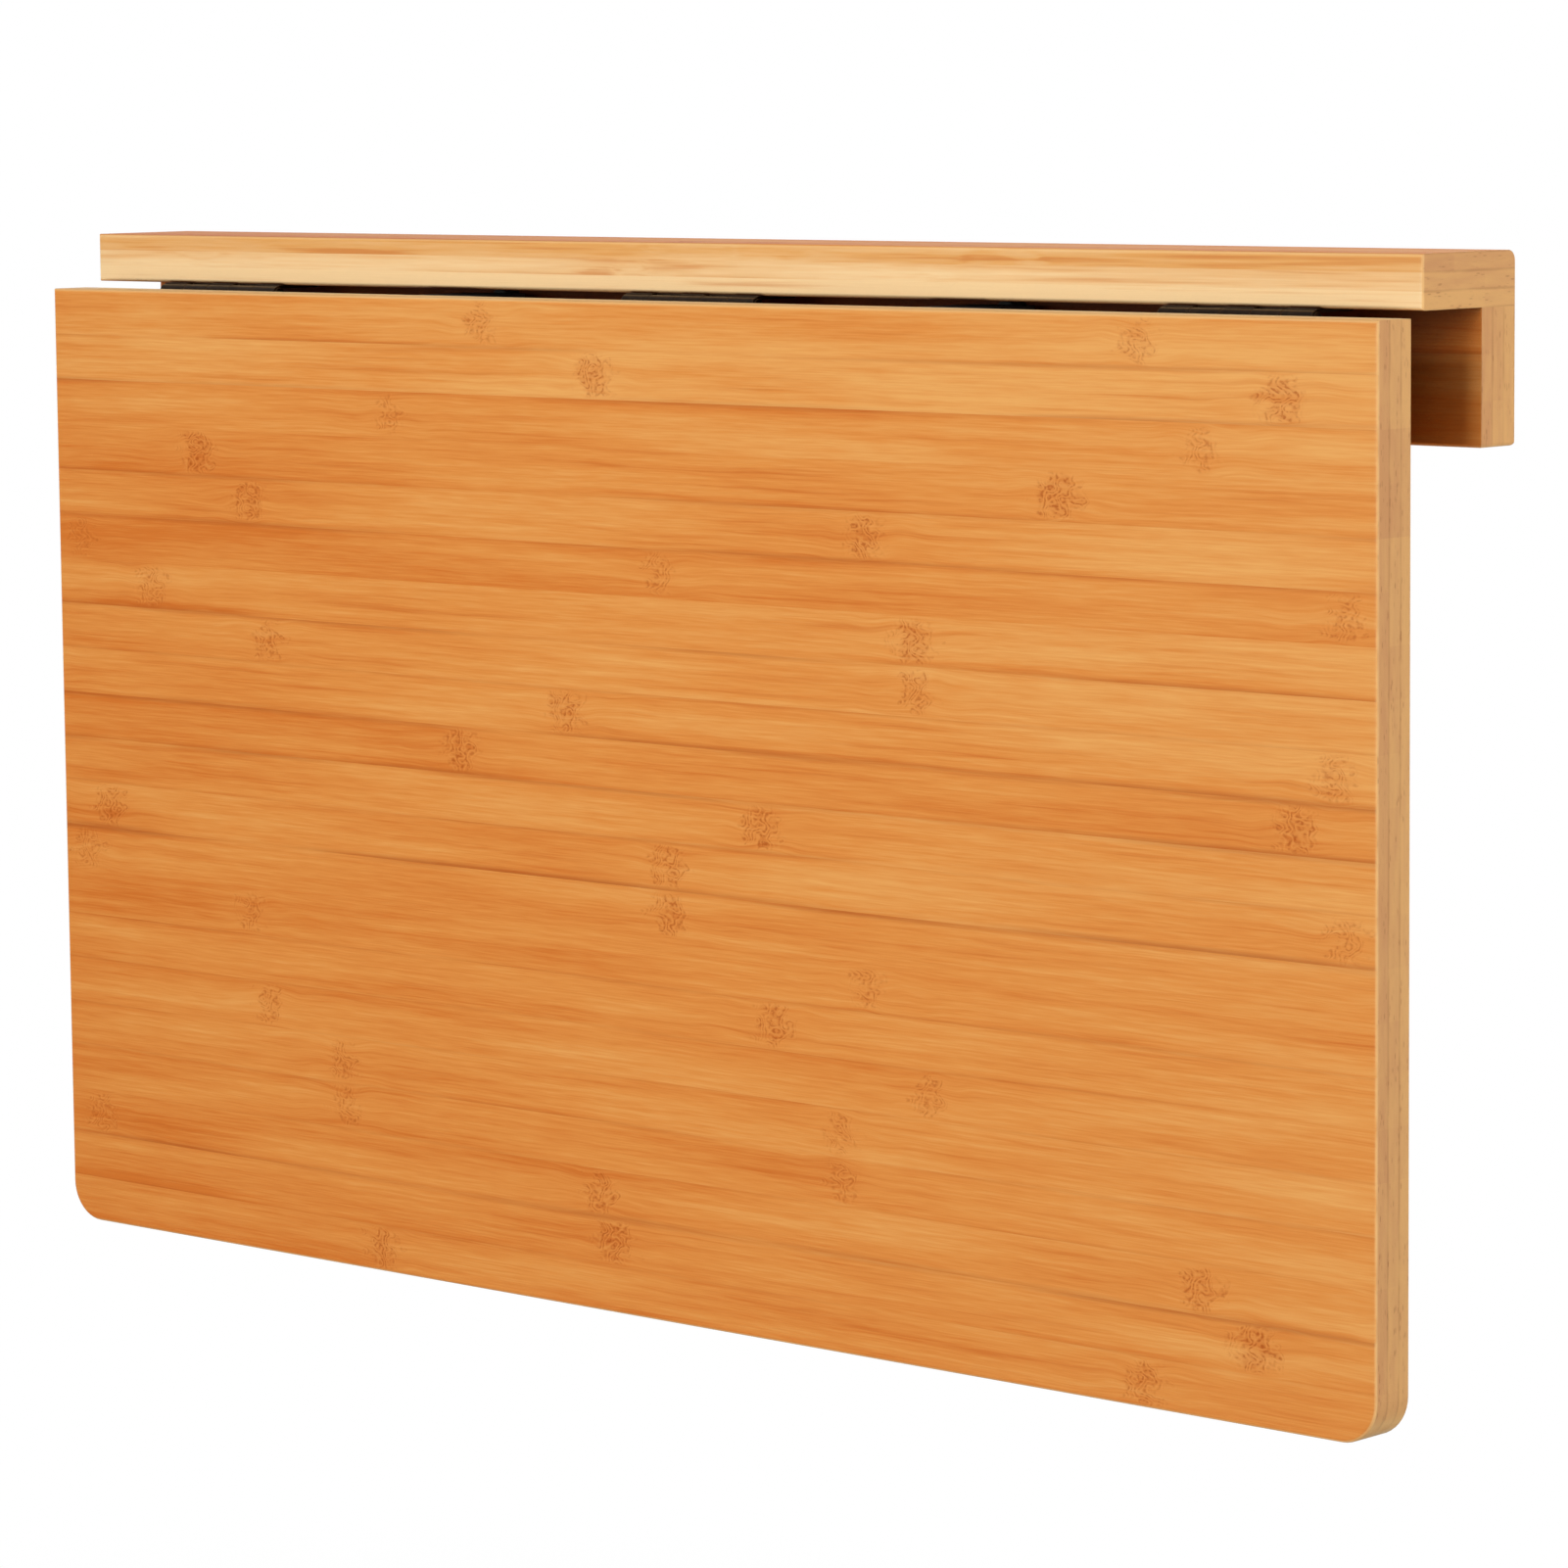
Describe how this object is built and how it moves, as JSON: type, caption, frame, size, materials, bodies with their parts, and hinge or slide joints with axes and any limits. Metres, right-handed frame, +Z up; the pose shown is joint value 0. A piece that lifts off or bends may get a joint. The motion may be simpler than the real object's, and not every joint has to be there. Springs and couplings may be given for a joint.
{
  "type": "wall-mounted drop-leaf table",
  "caption": "Wall-hung drop-leaf table in laminated bamboo: an angle of ledge and wall board carries a hinged leaf that hangs flat, and flip-up struts lock the raised leaf level.",
  "frame": {"origin": "middle of the row of wall screw holes, on the wall plane", "axes": "+Z up, +Y into the wall, so the front of the table looks towards -Y; +X along the ledge to the right seen from the front"},
  "size_m": [0.7, 0.081, 0.4225],
  "materials": {
    "bamboo": "satin lacquered bamboo",
    "dowel_wood": "plain beech",
    "zinc_steel": "zinc plated",
    "bronzed_steel": "dark bronzed",
    "black_steel": "black powder coat",
    "rubber": "matt moulded rubber"
  },
  "bodies": {
    "wall_frame": {"ledge_board": "bamboo", "wall_board": "bamboo", "dowel_pins": "dowel_wood", "ledge_hinge_plate_left": "bronzed_steel", "hinge_pin_left": "bronzed_steel", "ledge_hinge_screws_left": "bronzed_steel", "ledge_hinge_plate_centre": "bronzed_steel", "hinge_pin_centre": "bronzed_steel", "ledge_hinge_screws_centre": "bronzed_steel", "ledge_hinge_plate_right": "bronzed_steel", "hinge_pin_right": "bronzed_steel", "ledge_hinge_screws_right": "bronzed_steel", "lock_bracket_left": "black_steel", "lock_bracket_screws_left": "zinc_steel", "strut_pin_left": "zinc_steel", "rest_buffer_left": "rubber", "lock_bracket_right": "black_steel", "lock_bracket_screws_right": "zinc_steel", "strut_pin_right": "zinc_steel", "rest_buffer_right": "rubber"},
    "table_leaf": {"leaf_panel": "bamboo", "leaf_hinge_plate_left": "bronzed_steel", "leaf_hinge_screws_left": "bronzed_steel", "leaf_hinge_plate_centre": "bronzed_steel", "leaf_hinge_screws_centre": "bronzed_steel", "leaf_hinge_plate_right": "bronzed_steel", "leaf_hinge_screws_right": "bronzed_steel", "stop_arm_left": "black_steel", "stop_arm_screws_left": "zinc_steel", "stop_arm_right": "black_steel", "stop_arm_screws_right": "zinc_steel"},
    "lock_strut_left": {"lock_strut_left": "black_steel", "strut_pad_left": "rubber"},
    "lock_strut_right": {"lock_strut_right": "black_steel", "strut_pad_right": "rubber"}
  },
  "joints": [
    {"name": "leaf_fold", "type": "hinge", "parent": "wall_frame", "child": "table_leaf", "pos_m": [0, -0.0575, 0.0215], "axis": [-1, 0, 0], "range_deg": [0, 90]},
    {"name": "strut_flip_left", "type": "hinge", "parent": "wall_frame", "child": "lock_strut_left", "pos_m": [-0.135, -0.0285, -0.0025], "axis": [-1, 0, 0], "range_deg": [0, 90]},
    {"name": "strut_flip_right", "type": "hinge", "parent": "wall_frame", "child": "lock_strut_right", "pos_m": [0.135, -0.0285, -0.0025], "axis": [-1, 0, 0], "range_deg": [0, 90]}
  ]
}
